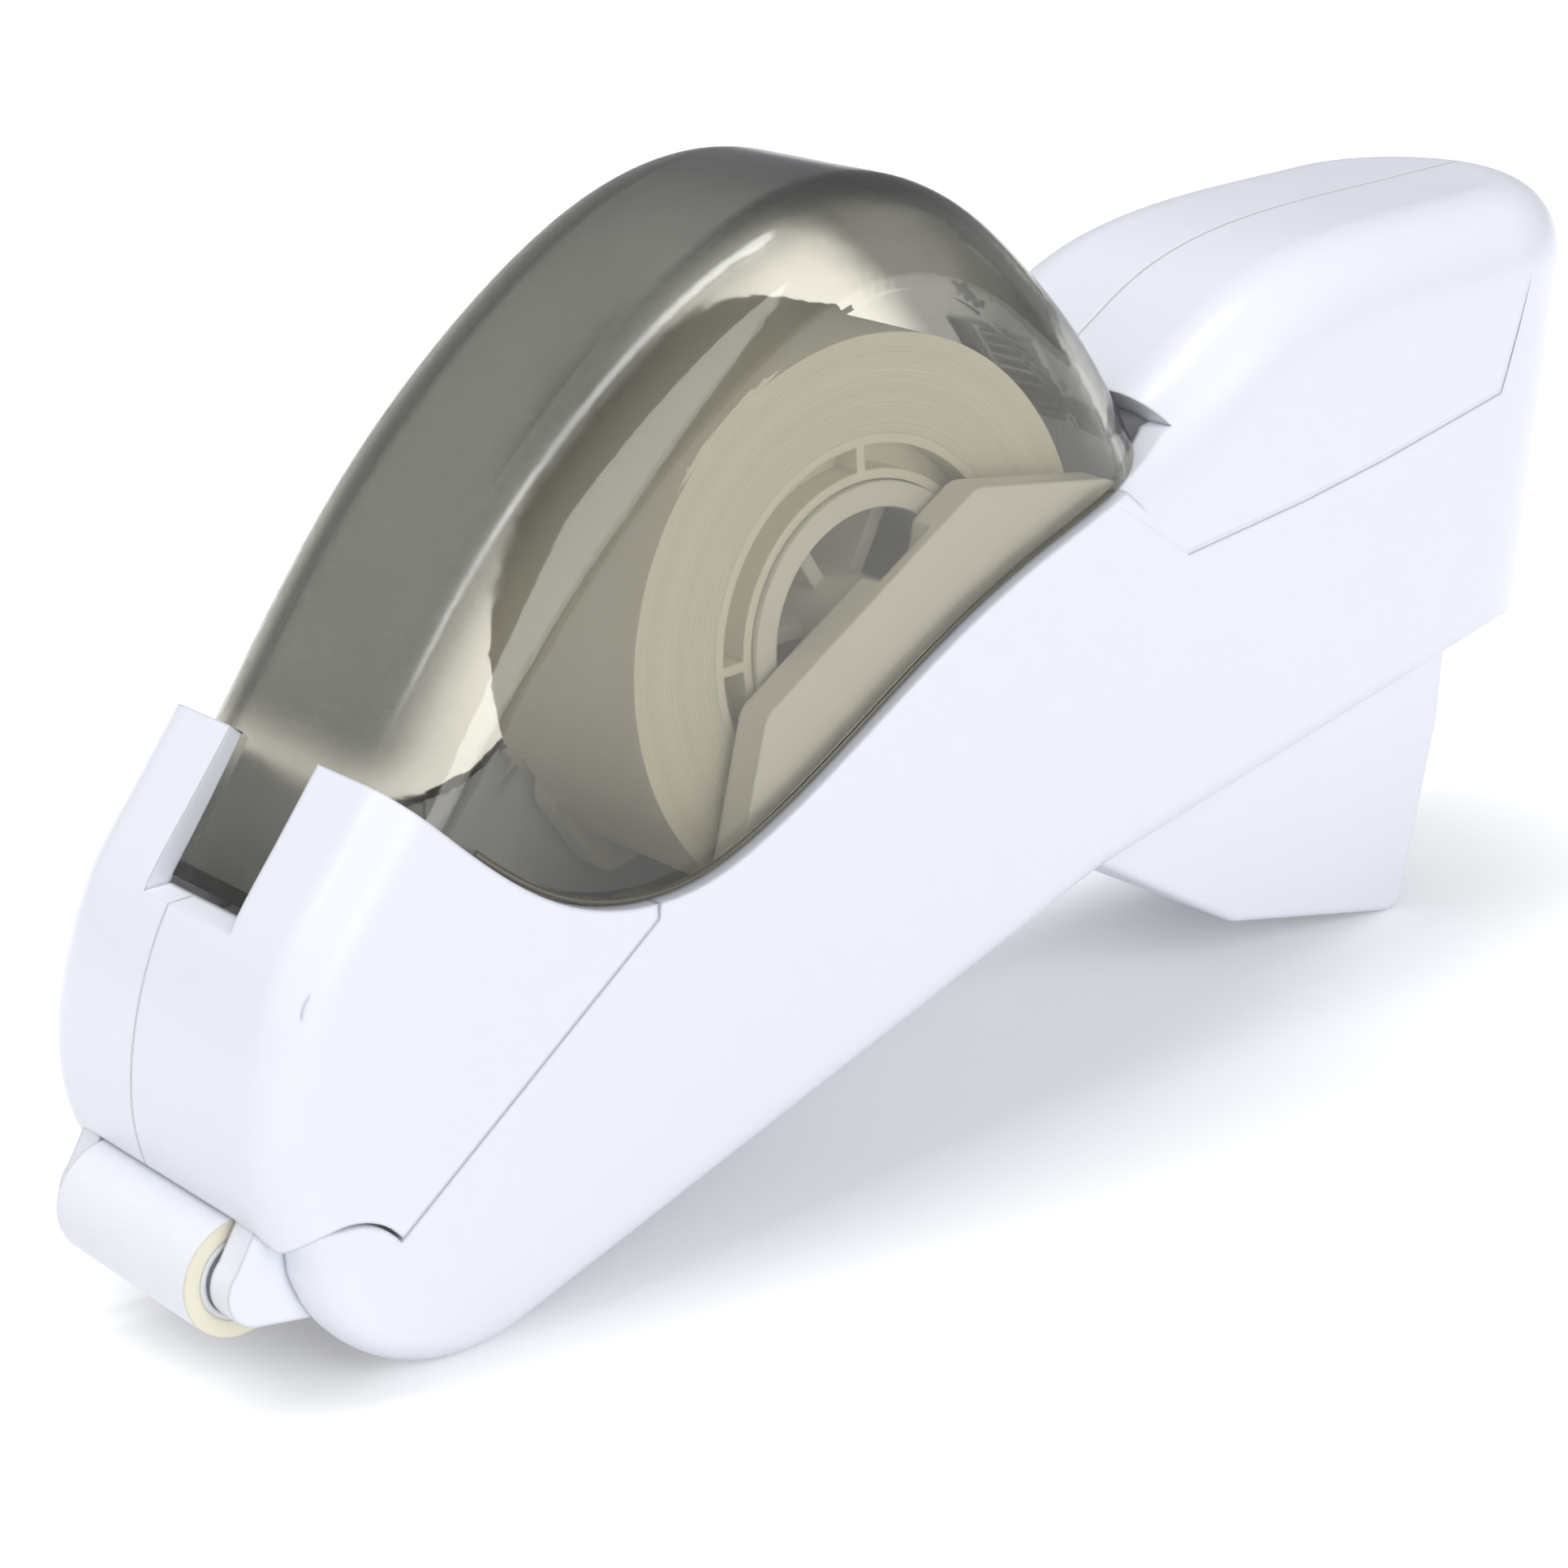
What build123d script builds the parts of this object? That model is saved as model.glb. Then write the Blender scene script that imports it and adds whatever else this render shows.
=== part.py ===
from build123d import *
import os
from math import asin, atan2, cos, degrees, hypot, radians, sin, sqrt, tan

# A hand-held tape dispenser. Side-view points are (x, z): x runs from the nose (-) to the
# handle (+), measured from the reel's axis, and z is the height above the floor.
# y runs across the dispenser, with the mid-plane at y = 0.

# Height of the roll's lowest point
TAPE_LOW_Z = 22.4

# Tape roll and hub
TAPE_WIDTH = 19.0
TAPE_R = 25.0
TAPE_THICK = 0.2
WEB_END_X = -54.0
CORE_R = 16.6
CORE_BORE_R = 12.7
CORE_SKIN = 0.9
CORE_GROOVE = 2.6
CORE_RIBS = 4
HUB_FIT = 0.1
HUB_RING = 2.2
HUB_PROUD = 0.5
HUB_SPOKES = 6
SPOKE_THICK = 1.4
SPOKE_RECESS = 3.5
HUB_BOSS_R = 4.2
STUB_R = 2.4
STUB_SEAT = 1.9

# Widths, stacked outward from the tape's edge
CHEEK_GAP = 1.1
CHEEK_THICK = 3.2
CHEEK_STANDOFF = 1.1
WALL = 2.0
COVER_STEP = 0.9
COVER_WALL = 1.6
TRIGGER_HALF = 11.0

# Clearances
RUN_FIT = 0.05
PART_GAP = 0.3
SEAM_GAP = 0.12

# Body outline
HEEL_R = 15.6
HEEL_FLAT = 5.0
HEEL_START = 192.0
LOWER_SLOPE = 16.1
HANDLE_SLOPE = 9.6
HANDLE_ROUND = 7.5
HEEL_X = -48.6
BEND_X = 22.2
REAR_X = 94.5
REAR_LEAN = 8.5
REAR_SLANT = 9.4
BODY_ROUND = 3.5
BROW_SLOPE = 0.45
HANDLE_TOP = [(36.0, 64.0), (42.0, 67.3), (50.0, 69.8), (60.0, 70.9), (72.0, 71.0)]
HANDLE_REAR = [(0.45, 34.8), (0.08, 44.4)]
CREASE = [(24.2, 55.4), (32.3, 47.6), (47.8, 49.0), (59.0, 50.5), (75.4, 53.3), (77.8, 59.2), (79.7, 64.3)]
CREASE_WIDTH = 0.4
CREASE_DEPTH = 0.15

# Line on which the cover sits, from the nose to the handle
RIM = [(-52.1, 48.5), (-44.5, 40.8), (-37.1, 35.4), (-29.1, 33.2), (-23.3, 33.5), (-18.0, 35.2)]
RIM += [(-7.1, 40.7), (3.2, 46.4), (14.8, 51.5), (24.2, 54.9), (31.0, 58.7)]
RIM_FRONT_SLOPE = 134.0
RIM_REAR_SLOPE = 20.0
RIM_REAR_RUN = 1.0

# Smoked cover
COVER_TOP = [(-51.2, 48.4), (-37.0, 65.6), (-28.0, 73.6), (-19.0, 79.8), (-9.0, 84.4), (1.0, 85.6)]
COVER_TOP += [(10.5, 82.6), (19.0, 75.6), (25.6, 67.8), (31.0, 58.7)]
COVER_FRONT_SLOPE = 230.0
COVER_REAR_SLOPE = 300.0
COVER_ROUND = 8.5
TONGUE_HALF = 6.0
TONGUE_LOW = 38.2
TONGUE_SEAT = 0.6
LATCH_ROOT = (25.6, 67.8)
LATCH_HALF = 3.6
LATCH_SLOT = 2.2
LATCH_ROOT_GAP = 0.15
LATCH_LIP = 2.2
LATCH_RIDGES = 5
LATCH_RIDGE_R = 0.55
LATCH_RIDGE_INSET = 0.5
LATCH_PITCH = 1.35
LATCH_FIRST = 3.2
LATCH_POCKET = 5.4
CATCH_LOW_Z = 50.0

# Nose
NOSE_FRONT = [(-53.2, 48.0), (-57.4, 43.0), (-61.8, 37.6), (-64.9, 31.5), (-66.5, 26.0)]
NOSE_FRONT += [(-67.0, 21.5), (-66.4, 16.7)]
NOSE_REAR = (-29.0, 31.8)
NOSE_REAR_STEP = (0.9, 6.0)
NOSE_CHIN = (1.0, -1.6)
NOSE_ROUND = 4.5
NOSE_SPLIT_Y = 2.5
PARTING_SLOPE = 34.7
NOSE_TOP_SLOPE = 49.0
NOSE_BOSSES = [(-59.4, 33.4), (-36.0, 31.6)]

# Hinge of the nose and cover, press roller and its arms
HINGE = (-61.0, 9.9)
HINGE_PIN_R = 1.2
EAR_R = 6.1
ARM_THICK = 2.6
ROLLER = (-66.0, 11.2)
ROLLER_R = 5.0
ROLLER_CORE_R = 3.5
ROLLER_LENGTH = 19.0
ROLLER_RIM = 0.5
ROLLER_HUB = 0.8
ROLLER_RECESS = 1.0
PIN_R = 1.5
AXLE_SKIN = 0.8
EYE_WALL = 1.6
STEM = [(-2.4, 1.6), (0.2, 5.5), (0.2, 12.8), (2.8, 12.8), (3.4, 4.0), (2.8, 0.0)]

# Guide roller and cutter
GUIDE = (-47.0, 15.5)
GUIDE_R = 4.0
PLATE_THICK = 1.7
PLATE_RIM = 1.0
PLATE_REAR = (9.0, -1.0)
PLATE_LOW = (-3.0, -6.0)
CUTTER = (-50.0, 26.0)
CUTTER_REACH = 15.4
CUTTER_LOWER = 28.5
CUTTER_HUB_R = 2.9
CUTTER_TAIL = (-48.1, 32.7)
TAIL_R = 1.4
TAIL_ROOT_R = 2.5
CUTTER_PLATE = 2.0
BLADE_THICK = 0.4
BLADE_LENGTH = 8.4
BLADE_TOOTH = 0.9
BLADE_PITCH = 1.3
RIVET_R = 1.0
RIVET_HEAD_R = 1.6
RIVET_Y = 5.5

# Push rod
ROD_DROP = 2.8
ROD_HALF = 5.0
ROD_THICK = 2.0
ROD_BAR_R = 1.5
ROD_GUIDES = (-24.0, 14.0)
ROD_FRONT_X = -36.0
ROD_TAB_X = 26.4
ROD_TAB_TOP = 36.0

# Trigger and its spring
TRIGGER_PIVOT = (30.0, 28.0)
TRIGGER_HUB_R = 4.2
TRIGGER_WALL = 2.0
TRIGGER_BARREL_R = 3.0
TRIGGER_ROUNDS = [(26.2, 19.4, 1.2), (47.3, 10.8, 5.2), (68.2, 2.0, 2.0)]
TRIGGER_ROUNDS += [(73.1, 19.5, 2.0), (74.2, 29.0, 2.0)]
TRIGGER_EDGE = 0.9
FINGER_TIP = (28.2, 34.0)
FINGER_R = 1.5
FINGER_HALF = 4.5
SPRING_X = 60.0
SPRING_COIL_R = 4.0
SPRING_WIRE_R = 0.5
SPRING_TURNS = 7
SPRING_SEAT_Z = 31.0
SHELF_Z = 55.0
SHELF_THICK = 2.0
SHELF_LENGTH = 14.0

# Screws
BODY_SCREWS = [(76.0, 57.0), (45.0, 56.0), (35.0, 44.0), (-28.0, 16.2)]
CHEEK_SCREWS = [(-12.0, 33.0), (6.0, 40.5), (20.0, 46.0)]
SCREW_R = 1.2
SCREW_HEAD_R = 2.3
SCREW_HEAD = 1.6
SCREW_SLOT = 0.7
SCREW_CROSS = 3.2
BOSS_R = 3.6
NOSE_BOSS_R = 2.8

# Reel cheeks
CHEEK = [(-19.0, 31.0), (-15.0, 44.5), (9.0, 58.5), (26.2, 55.4), (27.0, 40.0), (10.0, 27.5), (-14.0, 23.0)]
CHEEK_ROUND = 2.5
SLOT_LEAN = 6.0

# Place of the reel's axis; the origin is under the middle of the dispenser's length
REEL_X = -(REAR_X + ROLLER[0] - ROLLER_R) / 2
REEL_Z = TAPE_LOW_Z + TAPE_R

# Widths that follow from the stack
TAPE_HALF = TAPE_WIDTH / 2
CHEEK_IN = TAPE_HALF + CHEEK_GAP
CHEEK_OUT = CHEEK_IN + CHEEK_THICK
SHELL_IN = CHEEK_OUT + CHEEK_STANDOFF
HALF = SHELL_IN + WALL
COVER_HALF = HALF - COVER_STEP
PLATE_OUT = SHELL_IN - PART_GAP
PLATE_IN = PLATE_OUT - PLATE_THICK
ARM_OUT = PLATE_IN - PART_GAP
ARM_IN = ARM_OUT - ARM_THICK
ROLLER_SWEEP = hypot(ROLLER[0] - HINGE[0], ROLLER[1] - HINGE[1]) + ROLLER_R + PART_GAP
HEEL_Z = sqrt(HEEL_R**2 - (HEEL_FLAT / 2) ** 2)


# Helpers
def slab(sketch, y0, y1):
    """A side-view sketch made solid between two planes across the dispenser."""
    return Pos(0, y1, 0) * extrude(Plane.XZ * sketch, amount=y1 - y0, dir=(0, -1, 0))


def across(sketch, half):
    """A side-view sketch made solid to both sides of the mid-plane."""
    return slab(sketch, -half, half)


def both_sides(sketch, inner, outer):
    """The same plate on both sides of the mid-plane, as a list of two solids."""
    return [slab(sketch, -outer, -inner), slab(sketch, inner, outer)]


def disc(point, radius):
    """A round in the side view."""
    return Pos(point[0], point[1]) * Circle(radius)


def bar(point, radius, half):
    """A round bar across the dispenser, centred on the mid-plane."""
    return across(disc(point, radius), half)


def polygon(points):
    """A closed straight-edged outline in the side view."""
    return make_face(Polyline(*points, close=True))


def wrap(*rounds):
    """The outline stretched round several (x, z, radius) rounds."""
    edges = [edge for x, z, r in rounds for edge in disc((x, z), r).edges()]
    return make_hull(edges)


def beyond(point, slope_deg, length):
    """The point reached by going a length along a slope."""
    return (point[0] + length * cos(radians(slope_deg)), point[1] + length * sin(radians(slope_deg)))


def shifted(points, distance):
    """Points of a curve moved to the right of its running direction by a distance."""
    moved = []
    for k, (x, z) in enumerate(points):
        before, after = points[max(k - 1, 0)], points[min(k + 1, len(points) - 1)]
        run, rise = after[0] - before[0], after[1] - before[1]
        length = hypot(run, rise)
        moved.append((x + distance * rise / length, z - distance * run / length))
    return moved


def side_edges(solid, half, top_of):
    """The edges on both side planes whose middle is above a height."""
    return [e for e in solid.edges() if abs(abs((e @ 0.5).Y) - half) < 1e-4
            and abs(abs((e @ 0.1).Y) - half) < 1e-4 and (e @ 0.5).Z > top_of]


# Shared outlines
LOWER_TOUCH = beyond((HEEL_X, HEEL_Z), LOWER_SLOPE - 90.0, HEEL_R)
BEND = (BEND_X, LOWER_TOUCH[1] + (BEND_X - LOWER_TOUCH[0]) * tan(radians(LOWER_SLOPE)))


def above_rim(lift):
    """Everything over the line on which the cover sits, as a side-view face."""
    front = beyond(RIM[0], RIM_FRONT_SLOPE, TAPE_R)
    rear = beyond(RIM[-1], RIM_REAR_SLOPE, RIM_REAR_RUN)
    over = REEL_Z + 3 * TAPE_R
    high = beyond(rear, COVER_REAR_SLOPE - 180.0, (over - rear[1]) / cos(radians(COVER_REAR_SLOPE - 270.0)))
    edge = Spline(*RIM)
    frame = Polyline(RIM[-1], rear, high, (front[0], high[1]), front, RIM[0])
    return Pos(0, lift) * make_face([edge, frame])


def heel_arc(radius):
    """Start, middle and end of the heel's round, which ends on the underside."""
    last = 270.0 + LOWER_SLOPE
    angles = (HEEL_START, (HEEL_START + last) / 2, last)
    return [beyond((HEEL_X, HEEL_Z), angle, radius) for angle in angles]


def soft_underside():
    """A bar as wide as the body with rounded lower edges, which shapes the body's underside."""
    start, middle, touch = heel_arc(HEEL_R)
    over = 3 * REEL_Z
    rear_x = REAR_X + HEEL_R
    rear = (rear_x, BEND[1] + (rear_x - BEND_X) * tan(radians(HANDLE_SLOPE)))
    rest = Polyline(touch, BEND, rear, (rear_x, over), (start[0], over), start)
    block = across(make_face([ThreePointArc(start, middle, touch), rest]), HALF)
    low = [e for e in side_edges(block, HALF, -HEEL_R) if (e @ 0.5).X < REAR_X and (e @ 0.5).Z < 2 * REEL_Z]
    return fillet(low, BODY_ROUND)


def front_body(inset):
    """The heel and the reel chamber up to the handle, drawn higher than the rim."""
    start, middle, touch = heel_arc(HEEL_R - inset)
    bend = (BEND_X, BEND[1] + inset / cos(radians(LOWER_SLOPE)))
    high = REEL_Z + TAPE_R / 2
    (top_x, top_z), (end_x, end_z) = [(x - inset, z - inset) for x, z in CREASE[:2]]
    end_floor = (end_x, bend[1] + (end_x - BEND_X) * tan(radians(HANDLE_SLOPE)))
    rest = Polyline(touch, bend, end_floor, (end_x, end_z), (top_x, top_z), (top_x, high),
                    (start[0], high), start)
    return make_face([ThreePointArc(start, middle, touch), rest])


def handle_body(inset):
    """The handle: a bar with a rounded back and a half-round, leaning rear end, front end in the reel chamber."""
    slope = radians(HANDLE_SLOPE)
    lean = tan(radians(REAR_LEAN))
    half = HALF - inset
    rounding = HANDLE_ROUND - inset
    top = HANDLE_TOP[-1][1] - inset
    lean_z = HANDLE_TOP[-1][1] - HANDLE_ROUND
    lean_x = REAR_X - HALF - HANDLE_ROUND * (1 / cos(radians(REAR_LEAN)) - 1)
    end_x = lean_x + lean * (top - lean_z)
    front_x = BEND_X - WALL
    floor_z = BEND[1] + (front_x - BEND_X) * tan(slope) + inset / cos(slope)
    crown = [(x, z - inset) for x, z in reversed(HANDLE_TOP[1:-1])]
    brow = beyond(HANDLE_TOP[0], -45.0, inset)
    low = (front_x, brow[1] - (brow[0] - front_x) * BROW_SLOPE)
    roof = Spline((end_x, top), *crown, brow, low, tangents=[(-1, 0), (-1, -BROW_SLOPE)])
    low_z = floor_z - HEEL_R
    end_low = (end_x - lean * (top - low_z), low_z)
    rest = Polyline(low, (front_x, low_z), end_low, (end_x, top))
    straight = across(make_face([roof, rest]), half)
    crests = [e for e in side_edges(straight, half, brow[1]) if e.geom_type != GeomType.LINE]
    straight = fillet(crests, rounding)
    bend = beyond((half - rounding, top - rounding), 45.0, rounding)
    side = Polyline((half - rounding, top), (0, top), (0, low_z), (half, low_z), (half, top - rounding))
    section = make_face([side, ThreePointArc((half, top - rounding), bend, (half - rounding, top))])
    end = revolve(Rot(0, 0, -90) * (Plane.XZ * section), axis=Axis.Z, revolution_arc=180)
    shear = Matrix([[1, 0, lean, lean_x - lean * lean_z], [0, 1, 0, 0], [0, 0, 1, 0], [0, 0, 0, 1]])
    end = end.transform_geometry(shear)
    under = across(handle_side(inset, front_x, floor_z), 2 * HALF)
    return (straight & under) + (end & under)


def handle_side(inset, front_x, floor_z):
    """The handle's underside and the slant of its rear end, as a side-view face that is open above."""
    over = HANDLE_TOP[-1][1] + HANDLE_ROUND
    foot_x = REAR_X - REAR_SLANT - inset
    foot = (foot_x, floor_z + (foot_x - front_x) * tan(radians(HANDLE_SLOPE)))
    slant = [(REAR_X - share * REAR_SLANT - inset, z) for share, z in HANDLE_REAR]
    high = (REAR_X - inset, HANDLE_REAR[-1][1] + HEEL_R)
    back = Spline(foot, *slant, high, tangents=[(1, 0.5), (0, 1)])
    rest = Polyline(high, (high[0], over), (front_x, over), (front_x, floor_z), foot)
    return make_face([back, rest])


def parting_low():
    """The low end of the nose's straight parting line, as far from its rear end as the hinge."""
    length = hypot(NOSE_REAR[0] - HINGE[0], NOSE_REAR[1] - HINGE[1])
    return beyond(NOSE_REAR, 180.0 + PARTING_SLOPE, length)


def below_parting():
    """What lies under the nose's straight parting line, as a side-view face."""
    low = parting_low()
    step = (NOSE_REAR[0] + NOSE_REAR_STEP[0], NOSE_REAR[1] + NOSE_REAR_STEP[1])
    return polygon([low, NOSE_REAR, step, (REAR_X, 3 * REEL_Z), (REAR_X, -HEEL_R),
                    (low[0] - HEEL_R, -HEEL_R), (low[0] - HEEL_R, low[1])])


def nose_face(depth, inset):
    """The nose in side view, drawn past its parting line by a depth and higher than the rim."""
    front = shifted([*reversed(NOSE_FRONT), beyond(NOSE_FRONT[0], NOSE_TOP_SLOPE, HEEL_R)], inset)
    foot, top = front[0], front[-1]
    low = parting_low()
    rear = (NOSE_REAR[0] + depth, NOSE_REAR[1] - depth)
    chin = (foot[0] + NOSE_CHIN[0] + depth, foot[1] + NOSE_CHIN[1] - 2 * depth)
    heel = (low[0] + depth, low[1] - 2 * depth)
    rest = Polyline(top, (rear[0], top[1]), rear, heel, chin, foot)
    return make_face([Spline(*front), rest])


# Body shells
def screw_boss(point, radius):
    """A screw boss right across the body."""
    return bar(point, radius, SHELL_IN + WALL / 2)


def rod_line(x):
    """Height of the push rod's middle line at a place along the body."""
    slope = radians(LOWER_SLOPE)
    foot = ((TAPE_R + ROD_DROP) * sin(slope), REEL_Z - (TAPE_R + ROD_DROP) * cos(slope))
    return foot[1] + (x - foot[0]) * tan(slope)


def rod_guide(x):
    """A rib across the body with a slot through which the push rod slides."""
    width = WALL
    top = rod_line(x) + ROD_THICK / 2 + PART_GAP + WALL / 2
    rib = polygon([(x, 0), (x + width, 0), (x + width, top), (x, top)])
    slope = radians(LOWER_SLOPE)
    room = ROD_THICK / 2 + PART_GAP
    start = (x - WALL, rod_line(x - WALL))
    end = (x + 2 * width, rod_line(x + 2 * width))
    up = (-room * sin(slope), room * cos(slope))
    slot = polygon([(start[0] - up[0], start[1] - up[1]), (end[0] - up[0], end[1] - up[1]),
                    (end[0], end[1] + 4 * room), (start[0], start[1] + 4 * room)])
    return across(rib & front_body(WALL / 2), SHELL_IN + WALL / 2) - across(slot, ROD_HALF + PART_GAP)


def make_body():
    """Both shells of the body as one solid, before they are parted at the mid-plane."""
    chamber = across(front_body(WALL), SHELL_IN)
    grip_room = handle_body(WALL)
    front = across(front_body(0.0), HALF) - chamber - grip_room
    handle = handle_body(0.0)
    grip = handle - grip_room - chamber
    over = across(above_rim(-SEAM_GAP), 2 * HALF)
    body = (front - over) + (grip - over) + (handle & catch_wall())
    body -= across(polygon_under_floor(), 2 * HALF)
    body = body & across(Pos(SEAM_GAP, -SEAM_GAP) * below_parting(), 2 * HALF)
    body -= bar((0.0, REEL_Z), TAPE_R + 4 * PART_GAP, SHELL_IN)
    body -= across(polygon(CHEEK), SHELL_IN)
    plates = nose_plate()
    hidden = plates & front_body(WALL) & below_parting()
    for piece in both_sides(plates, PLATE_IN, PLATE_OUT):
        body += piece
    for piece in both_sides(hidden, PLATE_IN, SHELL_IN + WALL / 2):
        body += piece
    ear = disc(HINGE, EAR_R) & disc((HEEL_X, HEEL_Z), HEEL_R)
    for piece in both_sides(ear, PLATE_IN, HALF):
        body += piece
    body -= bar(HINGE, ROLLER_SWEEP, PLATE_IN - PART_GAP / 2)
    shelf_x = SPRING_X - SHELF_LENGTH / 2
    shelf = frame_box(shelf_x, SHELF_Z, shelf_x + SHELF_LENGTH, SHELF_Z + SHELF_THICK)
    body += across(polygon(shelf), SHELL_IN + WALL / 2)
    for x in ROD_GUIDES:
        body += rod_guide(x)
    for point in BODY_SCREWS:
        body += screw_boss(point, BOSS_R)
    for point in CHEEK_SCREWS:
        for piece in both_sides(disc(point, SCREW_HEAD_R), CHEEK_OUT, SHELL_IN + WALL / 2):
            body += piece
    for piece in both_sides(disc(TRIGGER_PIVOT, TRIGGER_HUB_R), TRIGGER_HALF + PART_GAP, SHELL_IN + WALL / 2):
        body += piece
    body -= trigger_slot()
    return body & soft_underside()


def catch_wall():
    """The wall at the handle's front end, behind the cover's latch."""
    front_x = beyond(RIM[-1], RIM_REAR_SLOPE, RIM_REAR_RUN)[0] + SEAM_GAP
    return across(polygon(frame_box(front_x, CATCH_LOW_Z, front_x + WALL, 2 * REEL_Z)), HALF)


def polygon_under_floor():
    """The room under the floor, which levels the heel's small flat."""
    return polygon(frame_box(HEEL_X - HEEL_R, -HEEL_R, HEEL_X + HEEL_R, 0.0))


def frame_box(x0, z0, x1, z1):
    """The corners of an upright rectangle in the side view."""
    return [(x0, z0), (x1, z0), (x1, z1), (x0, z1)]


def nose_plate():
    """The inner plate that carries the guide roller and the cutter on each side."""
    corners = [(GUIDE[0] + x, GUIDE[1] + z, GUIDE_R) for x, z in ((0.0, 0.0), PLATE_REAR, PLATE_LOW)]
    return wrap((*CUTTER, CUTTER_HUB_R + PLATE_RIM), *corners)


def trigger_slot():
    """The opening in the underside through which the trigger swings."""
    reach = max(hypot(x - TRIGGER_PIVOT[0], z - TRIGGER_PIVOT[1]) + r for x, z, r in TRIGGER_ROUNDS[3:])
    x0 = TRIGGER_ROUNDS[0][0] - TRIGGER_ROUNDS[0][2] - 2 * PART_GAP
    x1 = TRIGGER_PIVOT[0] + reach + 2 * PART_GAP
    return across(polygon(frame_box(x0, 0.0, x1, SPRING_SEAT_Z + WALL)), TRIGGER_HALF + PART_GAP)


def body_shells():
    """The two halves of the body, with the holes for pins and screws."""
    body = make_body()
    crease = across(trace(Polyline(*CREASE[1:]), CREASE_WIDTH), 2 * HALF)
    body -= crease - across(crease_block(), HALF - CREASE_DEPTH)
    hook = beyond(LATCH_ROOT, latch_slope(), latch_length() - LATCH_LIP / 2)
    pocket = Pos(*hook) * Rot(0, 0, latch_slope()) * Rectangle(LATCH_POCKET, LATCH_POCKET)
    body -= across(pocket, LATCH_HALF + 2 * PART_GAP)
    body -= bar(HINGE, HINGE_PIN_R, SHELL_IN)
    body -= bar(GUIDE, PIN_R, PLATE_OUT)
    body -= bar(CUTTER, PIN_R, PLATE_OUT)
    body -= bar(TRIGGER_PIVOT, PIN_R, SHELL_IN)
    for point in BODY_SCREWS:
        body -= slab(disc(point, SCREW_R), -SHELL_IN + WALL, HALF)
        body -= slab(disc(point, SCREW_HEAD_R + PART_GAP), HALF - SCREW_HEAD - WALL / 2, HALF)
    for point in CHEEK_SCREWS:
        for hole in both_sides(disc(point, SCREW_R), CHEEK_OUT, SHELL_IN + WALL / 2):
            body -= hole
    left = split(body, bisect_by=Plane.XZ, keep=Keep.TOP)
    right = split(body, bisect_by=Plane.XZ, keep=Keep.BOTTOM)
    return {"body_shell_left": left, "body_shell_right": right}


def crease_block():
    """A side-view face larger than the body, the depth limit of the crease."""
    return polygon(frame_box(HEEL_X - HEEL_R, 0.0, REAR_X, 2 * REEL_Z))


# Screws and pins
def screw(point, head_y, tip_y):
    """A screw across the body: its head at one plane and its tip at another."""
    side = 1 if head_y > tip_y else -1
    head_in = head_y - side * SCREW_HEAD
    head = slab(disc(point, SCREW_HEAD_R), min(head_y, head_in), max(head_y, head_in))
    shank = slab(disc(point, SCREW_R), min(head_in, tip_y), max(head_in, tip_y))
    slot_in = head_y - side * SCREW_HEAD / 2
    for turn in (0, 90):
        slot = Pos(*point) * Rot(0, 0, turn) * Rectangle(SCREW_CROSS, SCREW_SLOT)
        head -= slab(slot, min(head_y, slot_in), max(head_y, slot_in))
    return head + shank


def fasteners():
    """The three sets of screws."""
    body = [screw(p, HALF - WALL / 2, -SHELL_IN + WALL) for p in BODY_SCREWS]
    cheek = [screw(p, s * CHEEK_IN, s * (SHELL_IN + WALL / 2)) for p in CHEEK_SCREWS for s in (-1, 1)]
    nose = [screw(p, SHELL_IN, -SHELL_IN + WALL) for p in NOSE_BOSSES]
    return {"body_screws": Compound(body), "cheek_screws": Compound(cheek), "nose_screws": Compound(nose)}


def pins():
    """The pins and axles that sit still in the body and nose."""
    hinge = both_sides(disc(HINGE, HINGE_PIN_R), ARM_IN, SHELL_IN)
    return {
        "hinge_pins": Compound(hinge),
        "guide_axle": bar(GUIDE, PIN_R, PLATE_OUT),
        "cutter_pin": bar(CUTTER, PIN_R, PLATE_OUT),
        "trigger_pin": bar(TRIGGER_PIVOT, PIN_R, SHELL_IN),
        "roller_axle": bar(ROLLER, PIN_R, ARM_OUT - AXLE_SKIN),
    }


# Reel
def reel_cheeks():
    """The plates beside the roll, with blind slots that take the hub's stubs."""
    outline = fillet(polygon(CHEEK).vertices(), CHEEK_ROUND)
    seat = (0.0, REEL_Z)
    top = (SLOT_LEAN, REEL_Z + TAPE_R)
    path = wrap((*seat, STUB_R + RUN_FIT), (*top, STUB_R + RUN_FIT))
    depth = STUB_SEAT + PART_GAP
    parts = {}
    for side, name in ((-1, "reel_cheek_left"), (1, "reel_cheek_right")):
        low, high = sorted((side * CHEEK_IN, side * CHEEK_OUT))
        plate = slab(outline, low, high)
        low, high = sorted((side * CHEEK_IN, side * (CHEEK_IN + depth)))
        plate -= slab(path, low, high)
        for point in CHEEK_SCREWS:
            low, high = sorted((side * CHEEK_IN, side * (CHEEK_IN + SCREW_HEAD)))
            plate -= slab(disc(point, SCREW_HEAD_R), low, high)
            low, high = sorted((side * CHEEK_IN, side * CHEEK_OUT))
            plate -= slab(disc(point, SCREW_R), low, high)
        parts[name] = plate
    return parts


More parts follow.
